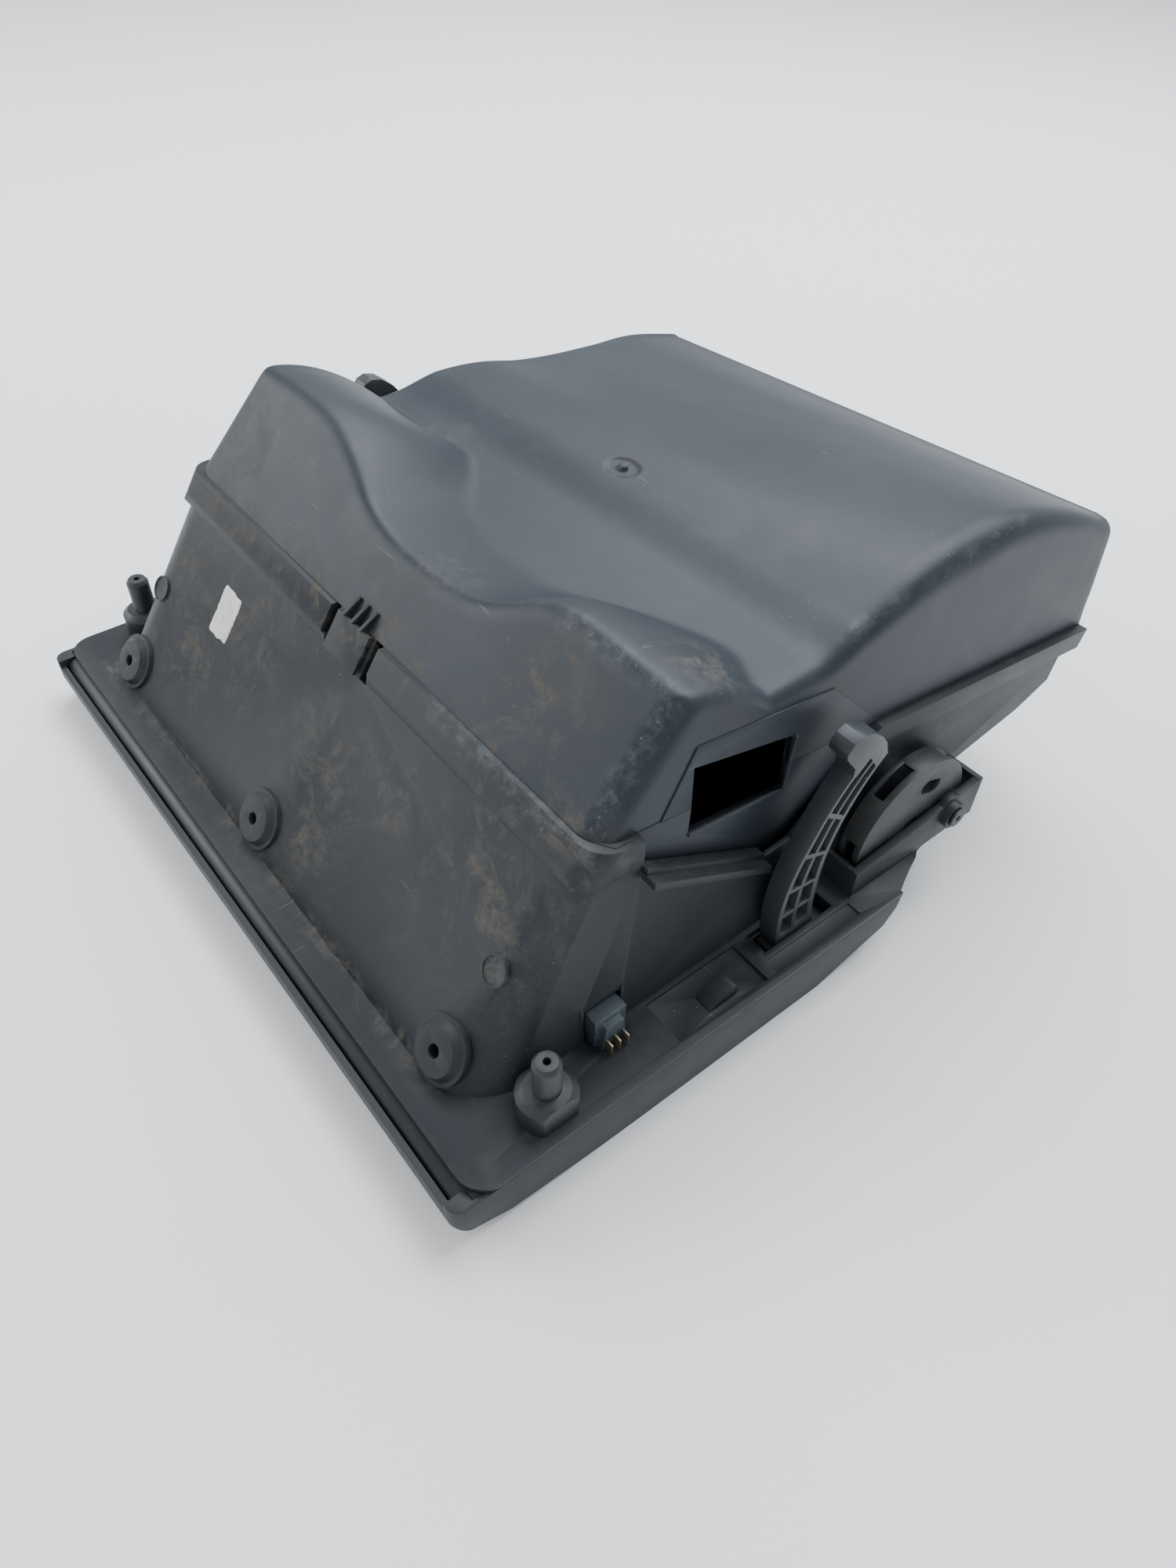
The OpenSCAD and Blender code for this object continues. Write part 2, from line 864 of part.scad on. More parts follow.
module handle_bezel() {
    color([0.1, 0.1, 0.11])
        place()
            difference() {
                box(-handle_w / 2 + 0.02, handle_w / 2 - 0.02,
                    handle_y - handle_d / 2 + 0.02, handle_y + handle_d / 2 - 0.02, -29, -10);
                box(-handle_w / 2 + 2.4, handle_w / 2 - 2.4,
                    handle_y - handle_d / 2 + 2.4, handle_y + handle_d / 2 - 2.4, -40, -12.4);
                rod_x(-handle_w / 2 - 1, handle_w / 2 + 1, handle_y - 15, -25, 1.5);
                box(-13, 13, 28, 38, -13, -9);
            }
}

module latch_handle() {
    color([0.12, 0.12, 0.13])
        place()
            difference() {
                union() {
                    box(-handle_w / 2 + 3.2, handle_w / 2 - 3.2, handle_y - 14, handle_y + 15, -28.6, -25.6);
                    rod_x(-handle_w / 2 + 3.2, handle_w / 2 - 3.2, handle_y - 15, -25, 3.4);
                    box(-handle_w / 2 + 3.2, handle_w / 2 - 3.2, handle_y + 11, handle_y + 15, -27, -21.6);
                }
                rod_x(-handle_w, handle_w, handle_y - 15, -25, 1.5 + pin_fit);
            }
}

module handle_pin() {
    color([0.7, 0.7, 0.72])
        place()
            rod_x(-handle_w / 2 + 0.3, handle_w / 2 - 0.3, handle_y - 15, -25, 1.5);
}

module handle_spring() {
    color([0.6, 0.6, 0.62])
        place()
            along_x(-30, -24, [
                [handle_y - 8, -12.5],
                [handle_y + 17, -12.5],
                [handle_y + 8, -23.9],
                [handle_y + 6.6, -23.9],
                [handle_y + 14.8, -13.3],
                [handle_y - 8, -13.3]
            ]);
}

module latch_bolt() {
    color([0.62, 0.6, 0.55])
        place() {
            box(-9, 9, 26, 34, -9, 9);
            along_x(-9, 9, [
                [26, 2],
                [23.4, 4],
                [26, 9]
            ]);
        }
}

module bolt_guide() {
    color([0.2, 0.2, 0.2])
        place()
            difference() {
                box(-12.6, 12.6, 24, 40.4, -9.9, liner_z - 2.4);
                box(-9.4, 9.4, 25.6, 39, -9.4, 0);
            }
}

module lock_sleeve() {
    color([0.2, 0.2, 0.21])
        place()
            translate([86, handle_y, -28.6])
                difference() {
                    cylinder(h = 20, r = 10.9);
                    translate([0, 0, -1])
                        cylinder(h = 18, r = 8.05);
                }
}

module lock_cylinder() {
    color([0.75, 0.75, 0.77])
        place()
            translate([86, handle_y, -28.4])
                difference() {
                    cylinder(h = 15, r = 8);
                    translate([-3.5, -0.7, -1])
                        cube([7, 1.4, 9]);
                }
}

lower_housing();
upper_shell();
snap_clip();
paper_label();
guide_peg(-1);  // guide_peg_left
guide_peg(1);  // guide_peg_right
switch_body();
switch_terminals();
switch_plunger();
hinge_axle(-1);  // hinge_axle_left
hinge_axle(1);  // hinge_axle_right
damper_roller(-1);  // damper_roller_left
damper_roller(1);  // damper_roller_right
hinge_drum(-1);  // hinge_drum_left
hinge_drum(1);  // hinge_drum_right
lid_outer_skin();
lid_inner_liner();
liner_screws();
stop_buffers();
stop_arm(-1);  // stop_arm_left
stop_arm(1);  // stop_arm_right
arm_rivets();
handle_bezel();
latch_handle();
handle_pin();
handle_spring();
latch_bolt();
bolt_guide();
lock_sleeve();
lock_cylinder();
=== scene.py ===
import bpy
import bmesh
import math
import random
import numpy as np
import json
from mathutils import Vector, Matrix, noise


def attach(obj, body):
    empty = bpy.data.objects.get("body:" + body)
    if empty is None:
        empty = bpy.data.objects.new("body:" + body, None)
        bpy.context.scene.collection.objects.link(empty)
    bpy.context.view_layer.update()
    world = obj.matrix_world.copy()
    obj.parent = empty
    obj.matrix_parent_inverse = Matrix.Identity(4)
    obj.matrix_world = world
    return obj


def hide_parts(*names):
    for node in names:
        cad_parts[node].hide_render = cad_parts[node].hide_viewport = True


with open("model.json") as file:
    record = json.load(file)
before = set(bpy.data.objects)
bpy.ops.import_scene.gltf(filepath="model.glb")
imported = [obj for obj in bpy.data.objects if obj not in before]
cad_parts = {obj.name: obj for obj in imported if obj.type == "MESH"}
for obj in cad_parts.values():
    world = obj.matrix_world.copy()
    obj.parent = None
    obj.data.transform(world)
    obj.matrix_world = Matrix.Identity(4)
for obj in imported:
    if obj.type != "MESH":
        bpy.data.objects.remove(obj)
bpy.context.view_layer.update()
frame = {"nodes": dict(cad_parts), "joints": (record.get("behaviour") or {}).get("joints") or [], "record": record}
MM = 0.001

# Working frame: millimetres, y from the frame's front edge, z from the frame plate's face.
hinge = [j for j in frame["joints"] if j["name"] == "lid_hinge"][0]["pos_m"]
HINGE_Y, HINGE_Z = 257.0, 18.5
OFF = Vector((0.0, hinge[1] - HINGE_Y * MM, hinge[2] - HINGE_Z * MM))


def W(x, y, z):
    """A point of the working frame in the scene's metres."""
    return Vector((x * MM, y * MM, z * MM)) + OFF


def smooth_by_angle(me, deg):
    """Shades smooth except across edges sharper than the angle."""
    bm = bmesh.new()
    bm.from_mesh(me)
    lim = math.radians(deg)
    for f in bm.faces:
        f.smooth = True
    for e in bm.edges:
        e.smooth = not (len(e.link_faces) == 2 and e.calc_face_angle(0) > lim)
    bm.to_mesh(me)
    bm.free()


def place(ob, body, mat, replaced):
    """Parents a piece to its body's empty, gives it the material and hides the CAD nodes it stands for."""
    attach(ob, body)
    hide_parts(*replaced)
    ob.data.materials.clear()
    ob.data.materials.append(mat)
    return ob


def link(name, me):
    ob = bpy.data.objects.new(name, me)
    bpy.context.scene.collection.objects.link(ob)
    return ob


def mesh_from(name, verts, faces):
    me = bpy.data.meshes.new(name)
    me.from_pydata([tuple(v) for v in verts], [], faces)
    me.update()
    return me


def bake(ob):
    """Applies the modifiers."""
    bpy.context.view_layer.update()
    dg = bpy.context.evaluated_depsgraph_get()
    me = bpy.data.meshes.new_from_object(ob.evaluated_get(dg))
    old = ob.data
    ob.modifiers.clear()
    ob.data = me
    bpy.data.meshes.remove(old)
    return ob


def mark_edges(me):
    """Stores which faces came from a rounded edge, then puts all faces back in the first slot."""
    idx = [p.material_index for p in me.polygons]
    a = me.attributes.new("edge", "FLOAT", "FACE")
    a.data.foreach_set("value", [float(i) for i in idx])
    me.polygons.foreach_set("material_index", [0] * len(idx))


def clean(me, weld=1e-5, flat=0.6):
    """Welds doubled points and joins faces that lie in one plane, ready for rounding."""
    bm = bmesh.new()
    bm.from_mesh(me)
    bmesh.ops.remove_doubles(bm, verts=bm.verts, dist=weld)
    bmesh.ops.dissolve_limit(bm, angle_limit=math.radians(flat), verts=bm.verts, edges=bm.edges)
    bm.to_mesh(me)
    bm.free()


def from_node(node, name, body, mat, width, segments=2, deg=30):
    """A copy of a CAD node with rounded edges, standing for it."""
    me = frame["nodes"][node].data.copy()
    me.name = name
    clean(me)
    ob = link(name, me)
    me.materials.clear()
    me.materials.append(mat)
    me.materials.append(mat)
    m = ob.modifiers.new("edge", "BEVEL")
    m.material = 1
    m.width = width * MM
    m.segments = segments
    m.limit_method = "ANGLE"
    m.angle_limit = math.radians(deg)
    m.use_clamp_overlap = True
    m.harden_normals = False
    m.miter_outer = "MITER_ARC"
    bake(ob)
    mark_edges(ob.data)
    smooth_by_angle(ob.data, 40)
    return place(ob, body, mat, (node,))


# ------------------------------------------------------------------ materials
class Nodes:
    def __init__(self, name):
        self.mat = bpy.data.materials.new(name)
        self.mat.use_nodes = True
        self.t = self.mat.node_tree
        self.b = self.t.nodes["Principled BSDF"]
        self.co = self.t.nodes.new("ShaderNodeTexCoord").outputs["Object"]
        self.geo = self.t.nodes.new("ShaderNodeNewGeometry")

    def put(self, sock, v):
        if isinstance(v, bpy.types.NodeSocket):
            self.t.links.new(v, sock)
        else:
            if sock.type == "RGBA" and len(v) == 3:
                v = tuple(v) + (1.0,)
            sock.default_value = v

    def noise(self, scale, detail=3, rough=0.55, stretch=None, dist=0.0):
        n = self.t.nodes.new("ShaderNodeTexNoise")
        n.inputs["Scale"].default_value = scale
        n.inputs["Detail"].default_value = detail
        n.inputs["Roughness"].default_value = rough
        n.inputs["Distortion"].default_value = dist
        src = self.co
        if stretch:
            m = self.t.nodes.new("ShaderNodeMapping")
            m.inputs["Scale"].default_value = stretch[:3]
            if len(stretch) > 3:
                m.inputs["Rotation"].default_value = stretch[3:6]
            self.t.links.new(src, m.inputs["Vector"])
            src = m.outputs["Vector"]
        self.t.links.new(src, n.inputs["Vector"])
        return n.outputs["Fac"]

    def voronoi(self, scale):
        n = self.t.nodes.new("ShaderNodeTexVoronoi")
        n.inputs["Scale"].default_value = scale
        self.t.links.new(self.co, n.inputs["Vector"])
        return n.outputs["Distance"]

    def math(self, op, a, b=0.0, c=0.0, clamp=False):
        n = self.t.nodes.new("ShaderNodeMath")
        n.operation = op
        n.use_clamp = clamp
        self.put(n.inputs[0], a)
        self.put(n.inputs[1], b)
        self.put(n.inputs[2], c)
        return n.outputs[0]

    def step(self, v, lo, hi, a=0.0, b=1.0):
        n = self.t.nodes.new("ShaderNodeMapRange")
        n.interpolation_type = "SMOOTHSTEP"
        self.put(n.inputs["Value"], v)
        n.inputs["From Min"].default_value = lo
        n.inputs["From Max"].default_value = hi
        n.inputs["To Min"].default_value = a
        n.inputs["To Max"].default_value = b
        return n.outputs["Result"]

    def mix(self, f, a, b):
        n = self.t.nodes.new("ShaderNodeMix")
        n.data_type = "RGBA"
        self.put(n.inputs[0], f)
        self.put(n.inputs[6], a)
        self.put(n.inputs[7], b)
        return n.outputs[2]

    def blob(self, x, y, z, r, sx=1.0, sy=1.0, sz=1.0):
        """A soft ball-shaped mask round a point of the working frame."""
        m = self.t.nodes.new("ShaderNodeMapping")
        p = W(x, y, z)
        s = (sx, sy, sz)
        m.inputs["Scale"].default_value = s
        m.inputs["Location"].default_value = [-p[i] * s[i] for i in range(3)]
        self.t.links.new(self.co, m.inputs["Vector"])
        n = self.t.nodes.new("ShaderNodeVectorMath")
        n.operation = "LENGTH"
        self.t.links.new(m.outputs["Vector"], n.inputs[0])
        return self.step(n.outputs["Value"], r * MM, 0.0)

    def segment(self, a, b, r):
        """A soft mask round the line between two points."""
        a = W(*a)
        b = W(*b)
        ab = b - a
        s = self.t.nodes.new("ShaderNodeVectorMath")
        s.operation = "SUBTRACT"
        self.t.links.new(self.co, s.inputs[0])
        s.inputs[1].default_value = a
        d = self.t.nodes.new("ShaderNodeVectorMath")
        d.operation = "DOT_PRODUCT"
        self.t.links.new(s.outputs[0], d.inputs[0])
        d.inputs[1].default_value = ab / ab.length_squared
        h = self.math("ADD", d.outputs["Value"], 0.0, clamp=True)
        k = self.t.nodes.new("ShaderNodeVectorMath")
        k.operation = "SCALE"
        k.inputs[0].default_value = ab
        self.t.links.new(h, k.inputs["Scale"])
        e = self.t.nodes.new("ShaderNodeVectorMath")
        e.operation = "DISTANCE"
        self.t.links.new(s.outputs[0], e.inputs[0])
        self.t.links.new(k.outputs[0], e.inputs[1])
        return self.step(e.outputs["Value"], r * MM, 0.0)

    def most(self, masks):
        out = masks[0]
        for m in masks[1:]:
            out = self.math("MAXIMUM", out, m)
        return out

    def xyz(self):
        n = self.t.nodes.new("ShaderNodeSeparateXYZ")
        self.t.links.new(self.geo.outputs["Normal"], n.inputs[0])
        return n.outputs

    def bump(self, layers):
        """layers of (height, metres, strength), coarse first"""
        last = None
        for h, dist, strength in layers:
            n = self.t.nodes.new("ShaderNodeBump")
            n.inputs["Distance"].default_value = dist
            n.inputs["Strength"].default_value = strength
            self.t.links.new(h, n.inputs["Height"])
            if last:
                self.t.links.new(last, n.inputs["Normal"])
            last = n.outputs["Normal"]
        self.t.links.new(last, self.b.inputs["Normal"])


DUST = (0.120, 0.104, 0.083)
SCUFF = (0.20, 0.215, 0.23)


def plastic(name, base, light, rough, grain, dust, wear, specks=0.5, spec=0.5, dust_at=None, scuff_at=None,
            grain_scale=1500.0):
    """Moulded plastic with grain, dust, rubbed streaks, worn edges and pale specks, plus pale scuffs with painted
    highlights along chosen rounded edges.
    """
    n = Nodes(name)
    big = n.noise(9, 4, 0.6)
    mid = n.noise(55, 5, 0.6, dist=0.6)
    fine = n.noise(420, 3, 0.6)
    grainy = n.noise(grain_scale, 2, 0.6)
    col = n.mix(n.step(big, 0.35, 0.68), base, light)
    col = n.mix(n.math("MULTIPLY", n.step(mid, 0.5, 0.75), 0.2), col, tuple(c * 1.35 for c in light))
    # settled dust: a thin cloudy film, thicker on faces that look up
    up = n.step(n.xyz()[2], -0.2, 0.9, 0.4, 1.0)
    cloud = n.math("MULTIPLY", n.step(n.noise(20, 7, 0.7, dist=1.0), 0.46, 0.74),
                   n.step(n.noise(170, 5, 0.72), 0.30, 0.70))
    dm = n.math("MULTIPLY", n.math("MULTIPLY", cloud, up), dust * 0.55, clamp=True)
    if dust_at:
        local = n.most(dust_at(n))
        ragged = n.math("MULTIPLY", n.step(n.noise(42, 7, 0.72, dist=1.4), 0.42, 0.66),
                        n.step(n.noise(210, 5, 0.75), 0.28, 0.68))
        local = n.math("MULTIPLY", local, ragged)
        dm = n.math("MAXIMUM", dm, n.math("MULTIPLY", local, 0.85))
    col = n.mix(dm, col, DUST)
    # rubbed streaks
    s1 = n.noise(95, 2, 0.5, stretch=(0.25, 6.0, 6.0, 0.2, 0.4, 0.7))
    s2 = n.noise(80, 2, 0.5, stretch=(7.0, 0.3, 7.0, 0.5, -0.3, -0.4))
    lines = n.math("MAXIMUM", n.step(s1, 0.71, 0.75), n.step(s2, 0.72, 0.76))
    lines = n.math("MULTIPLY", lines, n.step(n.noise(30, 3), 0.5, 0.64))
    col = n.mix(n.math("MULTIPLY", lines, 0.25), col, SCUFF)
    # worn rounded edges
    mark = n.t.nodes.new("ShaderNodeAttribute")
    mark.attribute_name = "edge"
    edge = n.math("MULTIPLY", mark.outputs["Fac"], n.step(n.noise(230, 5, 0.75), 0.44, 0.66))
    edge = n.math("MULTIPLY", edge, n.step(n.noise(26, 3), 0.42, 0.62, 0.2, 1.0))
    col = n.mix(n.math("MULTIPLY", edge, wear, clamp=True), col, SCUFF)
    sc = None
    # Scuffs and painted highlights: pale patches along chosen rounded edges stand for rubbed marks and for the
    # specular highlight on those edges.
    if scuff_at:
        near = n.most(scuff_at(n))
        chip = n.step(n.noise(430, 6, 0.8, stretch=(1.0, 1.0, 0.5)), 0.60, 0.68)
        haze = n.math("MULTIPLY", n.step(n.noise(110, 6, 0.75), 0.44, 0.72), 0.34)
        sc = n.math("MULTIPLY", n.math("MAXIMUM", chip, haze), near, clamp=True)
        # One pale grey paints both the scuffs and the edge highlights.
        col = n.mix(n.math("MULTIPLY", sc, 0.7), col, (0.24, 0.26, 0.28))
    dots = n.step(n.voronoi(190), 0.085, 0.04)
    dots = n.math("MULTIPLY", dots, n.step(n.noise(31, 2), 0.58, 0.64))
    col = n.mix(n.math("MULTIPLY", dots, specks), col, (0.34, 0.35, 0.34))
    n.put(n.b.inputs["Base Color"], col)
    r = n.math("MULTIPLY_ADD", mid, 0.14, rough - 0.07)
    r = n.math("ADD", r, n.math("MULTIPLY", dm, 0.5))
    r = n.math("ADD", r, n.math("MULTIPLY", big, 0.08))
    n.put(n.b.inputs["Roughness"], n.math("MINIMUM", r, 0.95))
    n.b.inputs["Specular IOR Level"].default_value = spec
    layers = [(n.noise(14, 2), 0.0006, 0.2), (grainy, 0.00006, grain), (fine, 0.00008, 0.3)]
    if sc:
        layers.append((n.math("SUBTRACT", 1.0, sc), 0.00025, 0.4))
    n.bump(layers)
    return n.mat


def metal(name, base, rough=0.35, stain=0.4):
    n = Nodes(name)
    brushed = n.noise(240, 3, 0.6, stretch=(1.0, 9.0, 9.0))
    blotch = n.noise(120, 5, 0.65, dist=0.8)
    col = n.mix(n.step(blotch, 0.4, 0.7), base, tuple(c * 0.6 for c in base))
    col = n.mix(n.math("MULTIPLY", n.step(n.noise(320, 4, 0.7), 0.55, 0.7), stain), col, (0.12, 0.09, 0.07))
    n.put(n.b.inputs["Base Color"], col)
    n.b.inputs["Metallic"].default_value = 1.0
    n.put(n.b.inputs["Roughness"], n.math("MULTIPLY_ADD", blotch, 0.3, rough - 0.1))
    n.bump([(brushed, 0.00005, 0.4), (blotch, 0.0001, 0.3)])
    return n.mat


def paper(name):
    n = Nodes(name)
    fibre = n.noise(900, 4, 0.7)
    stain = n.noise(90, 5, 0.7, dist=0.5)
    col = n.mix(n.step(stain, 0.45, 0.75), (0.74, 0.74, 0.70), (0.50, 0.45, 0.36))
    col = n.mix(n.math("MULTIPLY", n.step(fibre, 0.4, 0.7), 0.25), col, (0.9, 0.9, 0.88))
    n.put(n.b.inputs["Base Color"], col)
    n.put(n.b.inputs["Roughness"], n.math("MULTIPLY_ADD", fibre, 0.2, 0.7))
    n.bump([(stain, 0.0002, 0.4), (fibre, 0.00006, 0.6)])
    return n.mat


def rubber(name):
    n = Nodes(name)
    a = n.noise(300, 4, 0.7)
    n.put(n.b.inputs["Base Color"], n.mix(n.step(a, 0.4, 0.7), (0.012, 0.012, 0.012), (0.05, 0.048, 0.045)))
    n.put(n.b.inputs["Roughness"], n.math("MULTIPLY_ADD", a, 0.2, 0.65))
    n.bump([(n.noise(900, 3), 0.0001, 0.5)])
    return n.mat


def front_dust(n):
    return [n.blob(-70, 60, 60, 62), n.blob(-130, 60, 62, 60), n.blob(-125, 80, 92, 50),
            n.blob(-30, 82, 96, 44),
            n.blob(-105, 40, 34, 44), n.blob(20, 50, 50, 60), n.blob(130, 60, 62, 60),
            n.blob(60, 60, 66, 34), n.blob(110, 76, 84, 40), n.blob(150, 48, 47, 22), n.blob(30, 30, 20, 26),
            n.segment((-170, 15, 0), (150, 15, 0), 9), n.segment((-164, 80, 96), (164, 80, 96), 9)]


# Where the lower moulding gets scuffs and painted highlights: along its near upright corner, its right front top
# edge and its right side.
def front_scuff_and_highlight(n):
    return [n.segment((168, 40, 34), (166, 78, 88), 11), n.segment((60, 82, 98), (164, 82, 98), 8),
            n.blob(150, 50, 50, 12), n.segment((164, 84, 100), (164, 108, 80), 8)]


def shell_dust(n):
    return [n.blob(-128, 100, 118, 42), n.blob(-100, 185, 116, 34), n.blob(20, 100, 112, 46),
            n.blob(100, 104, 120, 50), n.segment((-160, 86, 101), (160, 86, 101), 14),
            n.blob(-2, 231, 115, 22), n.blob(140, 150, 134, 26)]


# Where the upper shell gets scuffs and painted highlights: along its near upright corner, the right end of the
# crest and the right roof edge, with a few small spots.
def shell_scuff_and_highlight(n):
    return [n.segment((154, 88, 103), (151, 124, 141), 9), n.segment((92, 124, 141), (150, 127, 143), 8),
            n.segment((153, 215, 129), (153, 330, 142), 6), n.blob(-2, 231, 115, 9),
            n.segment((131, 80, 0), (184, 73, 0), 2)]


M = {}


def moulded(name, base, light, rough, grain, dust, wear, **more):
    M[name] = plastic(name, base, light, rough, grain, dust, wear, **more)


moulded("housing_plastic", (0.0125, 0.0155, 0.0190), (0.0200, 0.0240, 0.0280),
        rough=0.46, grain=0.5, dust=0.5,
        wear=0.45, specks=0.3, spec=0.34, dust_at=front_dust, scuff_at=front_scuff_and_highlight)
moulded("shell_plastic", (0.0145, 0.0200, 0.0275), (0.0210, 0.0285, 0.0380),
        rough=0.43, grain=0.45, dust=0.16,
        wear=0.35, specks=0.3, spec=0.36, dust_at=shell_dust, scuff_at=shell_scuff_and_highlight)
moulded("peg_plastic", (0.014, 0.016, 0.019), (0.021, 0.024, 0.027),
        rough=0.42, grain=0.4, dust=0.5, wear=0.5)
moulded("switch_plastic", (0.030, 0.044, 0.056), (0.042, 0.058, 0.070),
        rough=0.45, grain=0.4, dust=0.5, wear=0.4)
moulded("plunger_plastic", (0.42, 0.42, 0.40), (0.5, 0.5, 0.48), rough=0.3, grain=0.3, dust=0.4, wear=0.2)
moulded("drum_plastic", (0.022, 0.024, 0.026), (0.032, 0.035, 0.037),
        rough=0.46, grain=0.4, dust=0.5, wear=0.45)
moulded("lid_skin", (0.010, 0.0105, 0.0110), (0.016, 0.0165, 0.0172),
        rough=0.50, grain=1.0, dust=0.2, wear=0.3,
        grain_scale=700.0)
moulded("liner_plastic", (0.012, 0.0135, 0.0155), (0.018, 0.020, 0.022),
        rough=0.40, grain=0.4, dust=0.3, wear=0.4)
moulded("arm_plastic", (0.024, 0.029, 0.034), (0.036, 0.042, 0.048),
        rough=0.36, grain=0.4, dust=0.3, wear=0.5)
moulded("trim_plastic", (0.010, 0.0105, 0.0115), (0.016, 0.017, 0.018),
        rough=0.3, grain=0.3, dust=0.2, wear=0.3)
M["label_paper"] = paper("label_paper")
M["terminal_metal"] = metal("terminal_metal", (0.55, 0.47, 0.30), 0.4, 0.5)
M["steel"] = metal("steel", (0.42, 0.43, 0.44), 0.38, 0.5)
M["screw_steel"] = metal("screw_steel", (0.46, 0.46, 0.45), 0.35, 0.35)
M["spring_steel"] = metal("spring_steel", (0.30, 0.30, 0.31), 0.4, 0.4)
M["bolt_metal"] = metal("bolt_metal", (0.28, 0.27, 0.26), 0.55, 0.5)
M["lock_metal"] = metal("lock_metal", (0.62, 0.62, 0.63), 0.2, 0.2)
M["buffer_rubber"] = rubber("buffer_rubber")

# Every CAD node gets its slot's material; the pieces below stand for all of them.
slot_of = {s["node"]: s["material_slot"] for s in frame["record"]["subparts"]}
body_of = {n: b for b, ns in frame["record"]["behaviour"]["bodies"].items() for n in ns}
for node, ob in frame["nodes"].items():
    ob.data.materials.clear()
    ob.data.materials.append(M[slot_of[node]])


# ------------------------------------------------------------------ upper shell
# Front end of the parting line, its fall toward the rear, and the lean of the wall above it.
PART_Y, PART_Z = 84.5, 100.0
TILT = 44.0 / 314.4
LEAN_UP = 44.0 / 41.0


def parting(y):
    return PART_Z - (y - PART_Y) * TILT


def spline(points):
    """Smooth monotone curve through a few stations."""
    xs = np.array([p[0] for p in points], float)
    ys = np.array([p[1] for p in points], float)
    d = np.diff(ys) / np.diff(xs)
    m = np.concatenate([[d[0]], (d[1:] + d[:-1]) / 2, [d[-1]]])
    for i in range(1, len(d)):
        if d[i - 1] * d[i] <= 0:
            m[i] = 0.0

    def f(x):
        x = np.clip(x, xs[0], xs[-1])
        i = np.clip(np.searchsorted(xs, x) - 1, 0, len(xs) - 2)
        h = xs[i + 1] - xs[i]
        t = (x - xs[i]) / h
        return ((2 * t**3 - 3 * t**2 + 1) * ys[i] + (t**3 - 2 * t**2 + t) * h * m[i]
                + (-2 * t**3 + 3 * t**2) * ys[i + 1] + (t**3 - t**2) * h * m[i + 1])
    return f


# Roof heights along the right and left sides, the front crest and the foot line behind the ridge.
ROOF_R = spline([(84, 124), (196, 124), (221, 131), (255, 141), (288, 144.4), (314, 143.8), (339, 138.4),
                 (369, 127.4),
                 (405, 110.6)])
ROOF_L = spline([(84, 109), (199, 109.5), (228, 114.5), (252, 113), (280, 107), (335, 101), (363, 99.5),
                 (405, 90)])
CREST = spline([(-165, 141.5), (-135, 143.6), (-108, 144.1), (-83, 142.6), (-68, 139.2), (-54, 135.5),
                (-34, 129.7), (-14, 126.3), (10, 125.4), (40, 127.2), (58, 130.8), (72, 136.5), (84, 141),
                (100, 143), (165, 142.8)])
FOOT = spline([(-165, 190), (-109, 187), (-77, 190), (-52, 178), (-27, 161), (12, 150.6), (48, 150),
               (70, 158), (95, 169), (129, 177), (150, 168), (165, 162)])
# Radius of the upright front corners and of the roof's side edges.
EDGE_R = 12.5
SIDE_R = 7.0
# Where the rounded rear edge begins.
REAR_Y = 398.5


def smin(a, b, k):
    h = np.clip(0.5 + 0.5 * (b - a) / k, 0, 1)
    return b * (1 - h) + a * h - k * h * (1 - h)


def smax(a, b, k):
    return -smin(-a, -b, k)


def roof_only(x, y):
    """Roof height before the front wall cuts it."""
    u = np.clip((x + 155) / 310, 0, 1)
    zc = CREST(x)
    yc = PART_Y + (zc - PART_Z) / LEAN_UP
    foot = FOOT(x)
    base = ROOF_L(y) * (1 - u) + ROOF_R(y) * u
    low = ROOF_L(foot) * (1 - u) + ROOF_R(foot) * u
    t = np.maximum((y - yc) / (foot - yc), 0)
    block = np.clip((np.abs(x - 5.0) - 35.0) / 40.0, 0, 1)
    bow = 1.1 + 0.8 * block * block * (3 - 2 * block)
    ridge = zc + 0.8 - (zc + 0.8 - low) * t ** bow
    return smax(base, ridge, 1.5)


GATE_X, GATE_Y = -2.0, 231.0


def gate(x, y):
    """Shallow oval recess with a small moulding nub in its middle."""
    d = np.hypot((x - GATE_X) / 1.5, y - GATE_Y)
    dish = np.clip((7.5 - d) / 2.0, 0, 1)
    nub = np.clip((2.4 - d) / 0.9, 0, 1)
    return -0.9 * dish * dish * (3 - 2 * dish) + 1.9 * nub * nub * (3 - 2 * nub)


def top(x, y):
    front = PART_Z + (y - PART_Y) * LEAN_UP
    return smin(roof_only(x, y), front, 5.5) + gate(x, y)


def half_width(y, z):
    return 161.8 - 7.4 * max(0.0, (z - parting(y))) / 110.0


def wall_x(y, z, roof_z):
    """Half width at a height, drawn in round the upright corner and under the roof edge."""
    a = EDGE_R - (y - PART_Y - (z - PART_Z) / LEAN_UP)
    ci = EDGE_R - math.sqrt(max(0.0, EDGE_R**2 - max(0.0, min(a, EDGE_R)) ** 2))
    r = SIDE_R + 5.0 * math.exp(-((y - 290) / 60.0) ** 2)
    d = max(0.0, min(r, roof_z - z))
    fi = r - math.sqrt(max(0.0, r * r - (r - d) ** 2))
    return half_width(y, z) - math.hypot(ci, fi)


def steps(start, gap, count):
    return [start + gap * i for i in range(count)]


